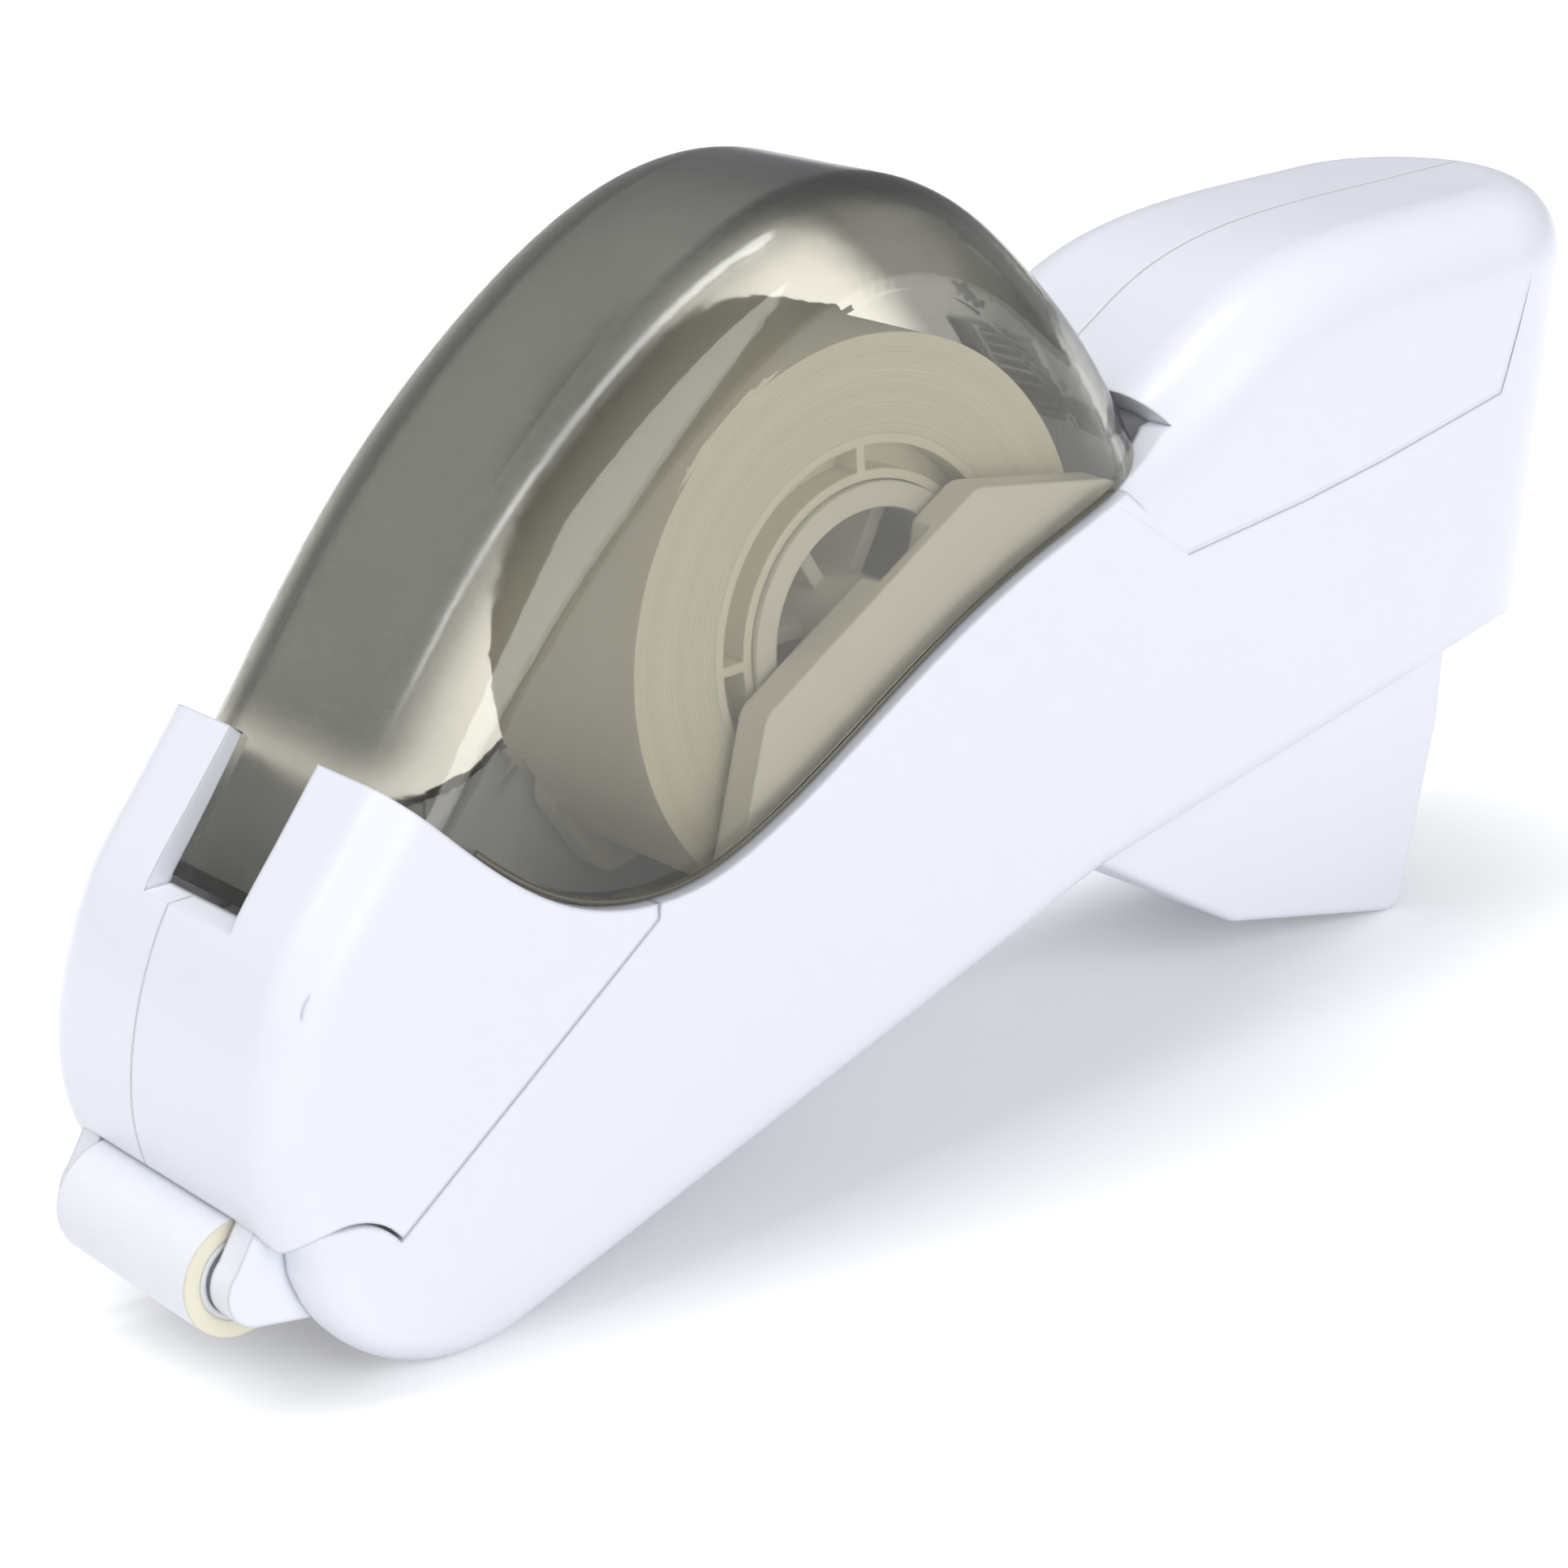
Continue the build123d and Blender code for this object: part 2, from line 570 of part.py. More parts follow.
def reel():
    """The hub with its stubs, the core and the winding."""
    axis = (0.0, REEL_Z)
    hub_r = CORE_BORE_R - HUB_FIT
    hub = across(disc(axis, hub_r) - disc(axis, hub_r - HUB_RING), TAPE_HALF + HUB_PROUD)
    hub += bar(axis, HUB_BOSS_R, TAPE_HALF)
    hub += bar(axis, STUB_R, CHEEK_IN + STUB_SEAT)
    spoke = Rectangle(2 * hub_r - HUB_RING, SPOKE_THICK)
    web = Sketch() + [Pos(*axis) * Rot(0, 0, k * 360 / HUB_SPOKES) * spoke for k in range(HUB_SPOKES // 2)]
    hub += across(web & disc(axis, hub_r - HUB_RING / 2), TAPE_HALF - SPOKE_RECESS)
    core = across(disc(axis, CORE_R) - disc(axis, CORE_BORE_R), TAPE_HALF)
    groove = disc(axis, CORE_R - CORE_SKIN) - disc(axis, CORE_BORE_R + CORE_SKIN)
    rib = Pos(*axis) * Rectangle(2 * CORE_R, CORE_SKIN)
    ribs = Sketch() + [Pos(*axis) * Rot(0, 0, k * 360 / CORE_RIBS) * Pos(-axis[0], -axis[1]) * rib
                       for k in range(CORE_RIBS // 2)]
    for piece in both_sides(groove - ribs, TAPE_HALF - CORE_GROOVE, TAPE_HALF):
        core -= piece
    winding = across(disc(axis, TAPE_R) - disc(axis, CORE_R), TAPE_HALF)
    return {"tape_hub": hub, "tape_core": core, "tape_winding": winding}


def tape_web():
    """The strip of tape from the roll's underside over the guide roller to the cut line."""
    gap = hypot(GUIDE[0], GUIDE[1] - REEL_Z)
    lift = GUIDE_R + PART_GAP
    below = TAPE_R + PART_GAP
    rise = degrees(atan2(REEL_Z - GUIDE[1], -GUIDE[0]) - asin((below + TAPE_THICK + lift) / gap))
    fall = degrees(atan2(GUIDE[1] + lift - ROLLER[1] - ROLLER_R - PART_GAP, GUIDE[0] - ROLLER[0]))
    edges = []
    ends = []
    for under, over in ((below + TAPE_THICK, lift), (below, lift + TAPE_THICK)):
        start = beyond((0.0, REEL_Z), rise - 90.0, under)
        first, middle, last = [beyond(GUIDE, 90.0 + a, over) for a in (rise, (rise + fall) / 2, fall)]
        end = (WEB_END_X, last[1] - (last[0] - WEB_END_X) * tan(radians(fall)))
        edges += [Line(start, first), ThreePointArc(first, middle, last), Line(last, end)]
        ends.append((start, end))
    edges += [Line(ends[0][0], ends[1][0]), Line(ends[0][1], ends[1][1])]
    return {"tape_web": across(make_face(edges), TAPE_HALF)}


def rollers():
    """The guide roller and the press roller's core and sleeve."""
    guide = bar(GUIDE, GUIDE_R, TAPE_HALF + PART_GAP) - bar(GUIDE, PIN_R + RUN_FIT, HALF)
    half = ROLLER_LENGTH / 2
    core = bar(ROLLER, ROLLER_CORE_R, half) - bar(ROLLER, PIN_R + RUN_FIT, HALF)
    sleeve = bar(ROLLER, ROLLER_R, half) - bar(ROLLER, ROLLER_CORE_R, HALF)
    recess = disc(ROLLER, ROLLER_CORE_R - ROLLER_RIM) - disc(ROLLER, PIN_R + ROLLER_HUB)
    for piece in both_sides(recess, half - ROLLER_RECESS, half):
        core -= piece
    return {"guide_roller": guide, "press_roller_core": core, "press_roller_sleeve": sleeve}


# Nose, cover and latch
def nose_covers():
    """The nose in two halves, with the arms that carry the press roller."""
    blank = across(nose_face(0.0, 0.0), HALF)
    brows = [e for e in side_edges(blank, HALF, NOSE_FRONT[-1][1]) if e.geom_type != GeomType.LINE]
    blank = fillet(brows, NOSE_ROUND)
    hollow = across(nose_face(HEEL_R, WALL), SHELL_IN)
    nose = blank - hollow
    nose -= across(above_rim(-SEAM_GAP), 2 * HALF)
    nose -= bar(HINGE, EAR_R + PART_GAP, 2 * HALF)
    nose -= bar(ROLLER, ROLLER_R + PART_GAP, ARM_IN)
    notch_x = NOSE_FRONT[-2][0] - WALL
    notch = frame_box(notch_x, TONGUE_LOW - TONGUE_SEAT, RIM[0][0] + WALL, NOSE_FRONT[0][1] + HEEL_R)
    nose -= across(polygon(notch), TONGUE_HALF + SEAM_GAP)
    eye = wrap((*ROLLER, 2 * PIN_R), (*HINGE, HINGE_PIN_R + EYE_WALL))
    stem = polygon([(ROLLER[0] + x, ROLLER[1] + z) for x, z in STEM])
    for piece in both_sides(eye + stem, ARM_IN, ARM_OUT):
        nose += piece
    nose -= bar(HINGE, HINGE_PIN_R + RUN_FIT, ARM_OUT)
    nose -= bar(ROLLER, PIN_R, ARM_OUT - AXLE_SKIN)
    for point in NOSE_BOSSES:
        nose += bar(point, NOSE_BOSS_R, SHELL_IN + WALL / 2)
        nose -= slab(disc(point, SCREW_R), -SHELL_IN + WALL, HALF)
        nose -= slab(disc(point, SCREW_HEAD_R), SHELL_IN - SCREW_HEAD, HALF)
    plane = Plane.XZ.offset(-NOSE_SPLIT_Y)
    near = split(nose, bisect_by=plane, keep=Keep.TOP)
    far = split(nose, bisect_by=plane, keep=Keep.BOTTOM)
    return {"nose_cover_left": near, "nose_cover_right": far}


def cover_face(inset):
    """The cover in side view, drawn down past the rim."""
    front = beyond(COVER_TOP[0], COVER_FRONT_SLOPE, TAPE_R)
    rear = beyond(COVER_TOP[-1], COVER_REAR_SLOPE, TAPE_R)
    crown = shifted([front, *COVER_TOP, rear], inset)
    return make_face([Spline(*crown), Line(crown[-1], crown[0])])


def cover_shell():
    """The see-through shell with its tongue, before its latch is cut free."""
    blank = across(cover_face(0.0), COVER_HALF)
    blank = fillet(crown_edges(blank, COVER_HALF), COVER_ROUND)
    hollow = across(cover_face(COVER_WALL), COVER_HALF - COVER_WALL)
    hollow = fillet(crown_edges(hollow, COVER_HALF - COVER_WALL), COVER_ROUND - COVER_WALL)
    room = across(above_rim(SEAM_GAP), 2 * HALF)
    lap = RIM[0][1] + 2 * COVER_WALL
    tongue = frame_box(NOSE_FRONT[-2][0], TONGUE_LOW, COVER_TOP[0][0] + COVER_WALL, lap)
    return (blank - hollow) & (room + across(polygon(tongue), TONGUE_HALF))


def crown_edges(solid, half):
    """The long curved edges on both sides of the cover."""
    return [e for e in side_edges(solid, half, 0.0) if e.geom_type != GeomType.LINE and e.length > TAPE_R]


def latch_slope():
    """The direction of the latch tab, from its root to its free end."""
    return degrees(atan2(COVER_TOP[-1][1] - LATCH_ROOT[1], COVER_TOP[-1][0] - LATCH_ROOT[0]))


def latch_length():
    """The latch tab's length to the cover's lower edge."""
    return hypot(COVER_TOP[-1][1] - LATCH_ROOT[1], COVER_TOP[-1][0] - LATCH_ROOT[0])


def latch_zone(start):
    """A strip in the side view that holds the cover's back wall below the latch's root."""
    length = latch_length() + COVER_ROUND
    middle = beyond(LATCH_ROOT, latch_slope(), start + length / 2)
    return Pos(*middle) * Rot(0, 0, latch_slope()) * Rectangle(length, COVER_ROUND)


def cover_and_latch():
    """The smoked cover, and the tab that is cut free in its back wall."""
    shell = cover_shell()
    slot = across(latch_zone(0.0), LATCH_HALF + LATCH_SLOT)
    tab = shell & across(latch_zone(LATCH_ROOT_GAP), LATCH_HALF)
    cover = shell - slot
    slope = latch_slope()
    free_end = beyond(LATCH_ROOT, slope, latch_length() - COVER_WALL)
    lip_middle = beyond(free_end, slope + 90.0, LATCH_LIP / 2)
    lip = Pos(*lip_middle) * Rot(0, 0, slope) * Rectangle(COVER_WALL, LATCH_LIP)
    tab += across(lip, LATCH_HALF)
    for k in range(LATCH_RIDGES):
        along = beyond(LATCH_ROOT, slope, latch_length() - LATCH_FIRST - LATCH_PITCH * k)
        ridge = beyond(along, slope + 90.0, LATCH_RIDGE_R / 2)
        tab += bar(ridge, LATCH_RIDGE_R, LATCH_HALF - LATCH_RIDGE_INSET)
    return {"smoked_cover": cover, "latch_tab": tab}


# Cutter, push rod and trigger
def cutter():
    """The swinging arm with its toothed blade and rivets."""
    arm = bar(CUTTER, CUTTER_HUB_R, PLATE_IN - 2 * PART_GAP)
    lean = 180.0 + CUTTER_LOWER
    reach = CUTTER_REACH - BLADE_LENGTH / 2
    middle = beyond(CUTTER, lean, reach / 2)
    plate = Pos(*middle) * Rot(0, 0, lean) * Rectangle(reach, CUTTER_PLATE)
    arm += across(plate, TAPE_HALF + 2 * PART_GAP / 3)
    tail = wrap((*CUTTER, TAIL_ROOT_R), (*CUTTER_TAIL, TAIL_R))
    for piece in both_sides(tail, ARM_IN + PART_GAP, PLATE_IN - 2 * PART_GAP):
        arm += piece
    arm -= bar(CUTTER, PIN_R + RUN_FIT, HALF)
    half = TAPE_HALF + PART_GAP
    teeth = int(2 * half / BLADE_PITCH)
    tooth = 2 * half / teeth
    start = CUTTER_REACH - BLADE_LENGTH
    points = [(start, -half)]
    for k in range(teeth):
        points.append((CUTTER_REACH - BLADE_TOOTH, -half + k * tooth))
        points.append((CUTTER_REACH, -half + (k + 0.5) * tooth))
    points += [(CUTTER_REACH - BLADE_TOOTH, half), (start, half)]
    along = Vector(cos(radians(lean)), 0, sin(radians(lean)))
    up = Vector(-sin(radians(lean)), 0, cos(radians(lean)))
    face = Plane(origin=Vector(CUTTER[0], 0, CUTTER[1]) + up * (CUTTER_PLATE / 2), x_dir=along, z_dir=up)
    blade = extrude(face * make_face(Polyline(*points, close=True)), amount=BLADE_THICK, dir=up)
    rivets = []
    for y in (-RIVET_Y, RIVET_Y):
        spot = face * Pos(start + 2 * RIVET_R, y)
        length = BLADE_THICK + CUTTER_PLATE
        shank = spot * Pos(0, 0, (BLADE_THICK - CUTTER_PLATE) / 2) * Cylinder(RIVET_R, length)
        head = spot * Pos(0, 0, 1.5 * BLADE_THICK) * Cylinder(RIVET_HEAD_R, BLADE_THICK)
        blade -= shank
        arm -= shank
        rivets.append(shank + head)
    return {"cutter_arm": arm, "cutter_blade": blade, "blade_rivets": Compound(rivets)}


def push_rod():
    """The bar under the roll with its rear tab, front cross-bar and two risers."""
    slope = radians(LOWER_SLOPE)
    half = ROD_THICK / 2
    up = (-half * sin(slope), half * cos(slope))
    front = (ROD_FRONT_X, rod_line(ROD_FRONT_X))
    rear = (ROD_TAB_X, rod_line(ROD_TAB_X))
    strip = polygon([(front[0] + up[0], front[1] + up[1]), (front[0] - up[0], front[1] - up[1]),
                     (rear[0], rear[1] - up[1]), (rear[0], rear[1] + up[1])])
    rod = across(strip, ROD_HALF)
    tab = polygon(frame_box(ROD_TAB_X - ROD_THICK, rear[1] - half, ROD_TAB_X, ROD_TAB_TOP))
    rod += across(tab, FINGER_HALF)
    rod += bar(front, ROD_BAR_R, ARM_OUT)
    top = beyond(CUTTER_TAIL, LOWER_SLOPE, 2 * TAIL_R + PART_GAP)
    riser = wrap((*front, ROD_BAR_R), (*top, TAIL_R))
    for piece in both_sides(riser, ARM_IN + PART_GAP, ARM_OUT):
        rod += piece
    return {"push_rod": rod}


def trigger():
    """The squeeze lever: a trough with a barrel on its pin, a finger and a spring seat."""
    shape = wrap((*TRIGGER_PIVOT, TRIGGER_HUB_R), *TRIGGER_ROUNDS)
    lever = across(shape, TRIGGER_HALF)
    lever = fillet(side_edges(lever, TRIGGER_HALF, -HEEL_R), TRIGGER_EDGE)
    over = polygon(frame_box(HEEL_X, TRIGGER_PIVOT[1] - TRIGGER_HUB_R, REAR_X, REEL_Z))
    trough = offset(shape, -TRIGGER_WALL) + (over & offset(shape, TRIGGER_WALL))
    lever -= across(trough, TRIGGER_HALF - TRIGGER_WALL)
    lever += bar(TRIGGER_PIVOT, TRIGGER_BARREL_R, TRIGGER_HALF)
    finger = wrap((*TRIGGER_PIVOT, TRIGGER_BARREL_R), (*FINGER_TIP, FINGER_R))
    lever += across(finger, FINGER_HALF)
    seat_x = SPRING_X - SHELF_LENGTH / 2
    seat = frame_box(seat_x, SPRING_SEAT_Z - WALL, seat_x + SHELF_LENGTH, SPRING_SEAT_Z)
    lever += across(polygon(seat), TRIGGER_HALF - TRIGGER_WALL / 2)
    lever -= bar(TRIGGER_PIVOT, PIN_R + RUN_FIT, HALF)
    return {"trigger": lever}


def trigger_spring():
    """The compression spring between the trigger's seat and the body's shelf."""
    low = SPRING_SEAT_Z + PART_GAP + SPRING_WIRE_R
    high = SHELF_Z - PART_GAP - SPRING_WIRE_R
    path = Helix((high - low) / SPRING_TURNS, high - low, SPRING_COIL_R)
    wire = Plane(path @ 0, z_dir=path % 0) * Circle(SPRING_WIRE_R)
    return {"trigger_spring": Pos(SPRING_X, 0, low) * sweep(wire, path, is_frenet=True)}


def build_all():
    """Every piece by its name, with x measured from the reel's axis."""
    parts = {}
    for make in (body_shells, reel_cheeks, reel, tape_web, rollers, nose_covers, cover_and_latch, cutter,
                 push_rod, trigger, trigger_spring, pins, fasteners):
        parts.update(make())
    return parts


def main():
    """Write one file per piece, moved so that the origin is under the middle of the dispenser."""
    os.makedirs("parts", exist_ok=True)
    for name, shape in build_all().items():
        export_step(Pos(REEL_X, 0, 0) * shape, f"parts/{name}.step")


if __name__ == "__main__":
    main()
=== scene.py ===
import bmesh
import bpy
from mathutils import Matrix, Vector


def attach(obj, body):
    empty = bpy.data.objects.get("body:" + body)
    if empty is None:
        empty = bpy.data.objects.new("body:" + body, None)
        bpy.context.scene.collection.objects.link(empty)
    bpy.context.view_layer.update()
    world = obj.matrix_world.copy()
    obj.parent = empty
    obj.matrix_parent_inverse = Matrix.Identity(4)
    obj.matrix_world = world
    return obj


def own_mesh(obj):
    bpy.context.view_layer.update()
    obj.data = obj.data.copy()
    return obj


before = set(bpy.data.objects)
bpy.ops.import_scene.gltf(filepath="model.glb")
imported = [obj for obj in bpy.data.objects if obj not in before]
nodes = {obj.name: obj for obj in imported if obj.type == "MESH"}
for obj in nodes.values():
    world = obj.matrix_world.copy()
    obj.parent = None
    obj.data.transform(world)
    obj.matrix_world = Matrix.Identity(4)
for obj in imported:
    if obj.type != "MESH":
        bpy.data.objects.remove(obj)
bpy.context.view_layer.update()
scene = bpy.context.scene
MM = 0.001

# Places shared with the solids, in metres
REEL_X = -11.75
REEL_AXIS = Vector((REEL_X, 0.0, 47.4)) * MM
LATCH_ROOT = Vector((REEL_X + 25.6, 0.0, 67.8)) * MM
CREASE_TOP = Vector((REEL_X + 23.9, 0.0, 53.7)) * MM
CREASE_CORNER = Vector((REEL_X + 32.3, 0.0, 47.6)) * MM
RIM = [(-52.1, 48.5), (-44.5, 40.8), (-37.1, 35.4), (-29.1, 33.2), (-23.3, 33.5), (-18.0, 35.2)]
RIM += [(-7.1, 40.7), (3.2, 46.4), (14.8, 51.5), (24.2, 54.9), (31.0, 58.7)]
TONGUE_TOP = 50.0 * MM
NOSE_SEAM_Y = 2.5 * MM
ROLLER_END_Y = 9.4 * MM
BODY_HALF = 16.9 * MM
COVER_HALF = 16.0 * MM
CROWN_FLAT = 9.0 * MM
CROWN_END = 14.5 * MM
RIM_BEAD_R = 0.32 * MM
ARROW_HEIGHT = 0.45 * MM

# Camera, smoke and floor
CAMERA_PLACE = Vector((-200.04, -223.24, 144.88)) * MM
CAMERA_LENS = 81.85
CAMERA_SENSOR = 36.0
SMOKE_DENSITY = 170.0
FLOOR_SIZE = 6.0


# Shared shader effects
def effect(name, inputs, outputs):
    """An empty shader group with its named sockets, and the two ends of its tree."""
    group = bpy.data.node_groups.new(name, "ShaderNodeTree")
    for label, kind, value in inputs:
        socket = group.interface.new_socket(label, in_out="INPUT", socket_type=kind)
        socket.default_value = value
    for label, kind in outputs:
        group.interface.new_socket(label, in_out="OUTPUT", socket_type=kind)
    start = group.nodes.new("NodeGroupInput")
    end = group.nodes.new("NodeGroupOutput")
    return group, start, end


def math_node(tree, operation, first, second=None):
    """A math node whose inputs are sockets or plain numbers."""
    node = tree.nodes.new("ShaderNodeMath")
    node.operation = operation
    for socket, value in zip(node.inputs, (first, second)):
        if value is None:
            continue
        if isinstance(value, (int, float)):
            socket.default_value = value
        else:
            tree.links.new(value, socket)
    return node.outputs[0]


def noise(tree, place, scale, detail=2.0):
    """A noise pattern on given coordinates."""
    node = tree.nodes.new("ShaderNodeTexNoise")
    node.inputs["Scale"].default_value = scale
    node.inputs["Detail"].default_value = detail
    tree.links.new(place, node.inputs["Vector"])
    return node.outputs["Fac"]


def band(tree, value, low, high, bottom, top):
    """A value mapped smoothly from one range to another."""
    node = tree.nodes.new("ShaderNodeMapRange")
    node.interpolation_type = "SMOOTHSTEP"
    for label, item in (("From Min", low), ("From Max", high), ("To Min", bottom), ("To Max", top)):
        if isinstance(item, (int, float)):
            node.inputs[label].default_value = item
        else:
            tree.links.new(item, node.inputs[label])
    tree.links.new(value, node.inputs["Value"])
    return node.outputs["Result"]


def tint(tree, mask, first, second):
    """Two colours mixed by a mask."""
    node = tree.nodes.new("ShaderNodeMix")
    node.data_type = "RGBA"
    sockets = [s for s in node.inputs if s.type == "RGBA"]
    for socket, colour in zip(sockets, (first, second)):
        if isinstance(colour, tuple):
            socket.default_value = (*colour, 1.0)
        else:
            tree.links.new(colour, socket)
    tree.links.new(mask, node.inputs[0])
    return [s for s in node.outputs if s.type == "RGBA"][0]


def make_moulded_skin():
    """Fine grain, slow waviness and handling marks of a moulded face."""
    group, start, end = effect(
        "moulded_skin",
        [("Place", "NodeSocketVector", (0.0, 0.0, 0.0)), ("Grain", "NodeSocketFloat", 0.3)],
        [("Height", "NodeSocketFloat"), ("Marks", "NodeSocketFloat"), ("Drift", "NodeSocketFloat")],
    )
    place = start.outputs["Place"]
    fine = noise(group, place, 5200.0, 2.0)
    wave = noise(group, place, 70.0, 1.0)
    smudge = noise(group, place, 160.0, 4.0)
    grain = math_node(group, "MULTIPLY", fine, start.outputs["Grain"])
    height = math_node(group, "ADD", grain, math_node(group, "MULTIPLY", wave, 0.05))
    group.links.new(height, end.inputs["Height"])
    group.links.new(band(group, smudge, 0.35, 0.7, 0.0, 1.0), end.inputs["Marks"])
    group.links.new(noise(group, place, 24.0, 2.0), end.inputs["Drift"])
    return group


def make_parting_line():
    """A hairline across a moulding at a given distance from the mid-plane."""
    group, start, end = effect(
        "parting_line",
        [("Place", "NodeSocketVector", (0.0, 0.0, 0.0)), ("Offset", "NodeSocketFloat", 0.0),
         ("Width", "NodeSocketFloat", 0.00012)],
        [("Line", "NodeSocketFloat")],
    )
    split = group.nodes.new("ShaderNodeSeparateXYZ")
    group.links.new(start.outputs["Place"], split.inputs[0])
    away = math_node(group, "SUBTRACT", split.outputs["Y"], start.outputs["Offset"])
    near = math_node(group, "ABSOLUTE", away)
    line = band(group, near, 0.0, start.outputs["Width"], 1.0, 0.0)
    group.links.new(line, end.inputs["Line"])
    return group


def vector_node(tree, operation, first, second):
    """A vector math node whose inputs are sockets."""
    node = tree.nodes.new("ShaderNodeVectorMath")
    node.operation = operation
    for socket, value in zip(node.inputs, (first, second)):
        tree.links.new(value, socket)
    return node.outputs["Value"] if operation in ("DOT_PRODUCT", "DISTANCE") else node.outputs["Vector"]


def make_scored_line():
    """A fine straight line scored in both sides of the body, between two side-view points."""
    group, start, end = effect(
        "scored_line",
        [("Place", "NodeSocketVector", (0.0, 0.0, 0.0)), ("Top", "NodeSocketVector", (0.0, 0.0, 0.0)),
         ("Corner", "NodeSocketVector", (0.0, 0.0, 0.0)), ("Width", "NodeSocketFloat", 0.0002)],
        [("Line", "NodeSocketFloat")],
    )
    split = group.nodes.new("ShaderNodeSeparateXYZ")
    group.links.new(start.outputs["Place"], split.inputs[0])
    flat = group.nodes.new("ShaderNodeCombineXYZ")
    for axis in ("X", "Z"):
        group.links.new(split.outputs[axis], flat.inputs[axis])
    run = vector_node(group, "SUBTRACT", start.outputs["Corner"], start.outputs["Top"])
    gone = vector_node(group, "SUBTRACT", flat.outputs["Vector"], start.outputs["Top"])
    share = math_node(group, "DIVIDE", vector_node(group, "DOT_PRODUCT", gone, run),
                      vector_node(group, "DOT_PRODUCT", run, run))
    share.node.use_clamp = True
    along = group.nodes.new("ShaderNodeVectorMath")
    along.operation = "SCALE"
    group.links.new(run, along.inputs[0])
    group.links.new(share, along.inputs["Scale"])
    away = vector_node(group, "DISTANCE", gone, along.outputs["Vector"])
    line = band(group, away, 0.0, start.outputs["Width"], 1.0, 0.0)
    across = math_node(group, "ABSOLUTE", split.outputs["Y"])
    side = band(group, across, BODY_HALF - 0.0004, BODY_HALF - 0.0001, 0.0, 1.0)
    group.links.new(math_node(group, "MULTIPLY", line, side), end.inputs["Line"])
    return group


def make_winding_rings():
    """Fine rings round the reel's axis, as the layers of a wound film show on its face."""
    group, start, end = effect(
        "winding_rings",
        [("Place", "NodeSocketVector", (0.0, 0.0, 0.0))],
        [("Layers", "NodeSocketFloat"), ("Bands", "NodeSocketFloat")],
    )
    split = group.nodes.new("ShaderNodeSeparateXYZ")
    group.links.new(start.outputs["Place"], split.inputs[0])
    square = [math_node(group, "MULTIPLY", split.outputs[a], split.outputs[a]) for a in ("X", "Z")]
    radius = math_node(group, "SQRT", math_node(group, "ADD", *square))
    for label, scale in (("Layers", 5200.0), ("Bands", 620.0)):
        rings = group.nodes.new("ShaderNodeTexNoise")
        rings.noise_dimensions = "1D"
        rings.inputs["Scale"].default_value = scale
        rings.inputs["Detail"].default_value = 3.0
        group.links.new(radius, rings.inputs["W"])
        group.links.new(rings.outputs["Fac"], end.inputs[label])
    return group


MOULDED_SKIN = make_moulded_skin()
PARTING_LINE = make_parting_line()
SCORED_LINE = make_scored_line()
WINDING_RINGS = make_winding_rings()


# Materials
class Finish:
    """A material under way: its tree, its shader and its place on the piece."""

    def __init__(self, name, **plain):
        self.material = bpy.data.materials.new(name)
        self.material.use_nodes = True
        self.tree = self.material.node_tree
        self.shader = self.tree.nodes["Principled BSDF"]
        coordinates = self.tree.nodes.new("ShaderNodeTexCoord")
        self.place = coordinates.outputs["Object"]
        for label, value in plain.items():
            self.shader.inputs[label.replace("_", " ")].default_value = value

    def centred(self, point):
        """The place measured from a point."""
        mapping = self.tree.nodes.new("ShaderNodeMapping")
        mapping.inputs["Location"].default_value = -point
        self.tree.links.new(self.place, mapping.inputs["Vector"])
        return mapping.outputs["Vector"]

    def use(self, group, place=None, **values):
        """One of the shared effects with its own values."""
        node = self.tree.nodes.new("ShaderNodeGroup")
        node.node_tree = group
        self.tree.links.new(place or self.place, node.inputs["Place"])
        for label, value in values.items():
            node.inputs[label].default_value = value
        return node.outputs

    def relief(self, height, depth, strength=1.0, rounding=0.0):
        """A bump on the shader's normal, over softened edges where a rounding is given."""
        bump = self.tree.nodes.new("ShaderNodeBump")
        bump.inputs["Distance"].default_value = depth
        bump.inputs["Strength"].default_value = strength
        self.tree.links.new(height, bump.inputs["Height"])
        if rounding:
            soft = self.tree.nodes.new("ShaderNodeBevel")
            soft.samples = 6
            soft.inputs["Radius"].default_value = rounding
            self.tree.links.new(soft.outputs["Normal"], bump.inputs["Normal"])
        self.tree.links.new(bump.outputs["Normal"], self.shader.inputs["Normal"])

    def feed(self, label, source):
        """A source linked to one of the shader's sockets."""
        self.tree.links.new(source, self.shader.inputs[label])


def white_shell(name, seam_y, seam_width):
    """Bluish-white glossy moulding with a darker hairline where its halves meet, and a scored line
    painted darker as painted shade in its groove.
    """
    finish = Finish(name, Specular_IOR_Level=0.5)
    skin = finish.use(MOULDED_SKIN, Grain=0.02)
    seam = finish.use(PARTING_LINE, Offset=seam_y, Width=seam_width)["Line"]
    score = finish.use(SCORED_LINE, Top=CREASE_TOP, Corner=CREASE_CORNER, Width=0.0003)["Line"]
    # The seam's darker hairline is a dark joint; the scored line's darkening is painted shade in its
    # groove.
    line = math_node(finish.tree, "MAXIMUM", seam, score)
    plain = tint(finish.tree, skin["Drift"], (0.825, 0.845, 0.915), (0.84, 0.858, 0.925))
    finish.feed("Base Color", tint(finish.tree, line, plain, (0.79, 0.812, 0.885)))
    finish.feed("Roughness", band(finish.tree, skin["Marks"], 0.0, 1.0, 0.29, 0.32))
    groove = math_node(finish.tree, "MULTIPLY", line, 0.5)
    height = math_node(finish.tree, "SUBTRACT", skin["Height"], groove)
    finish.relief(height, 0.00004, 0.5, 0.0006)
    return finish.material


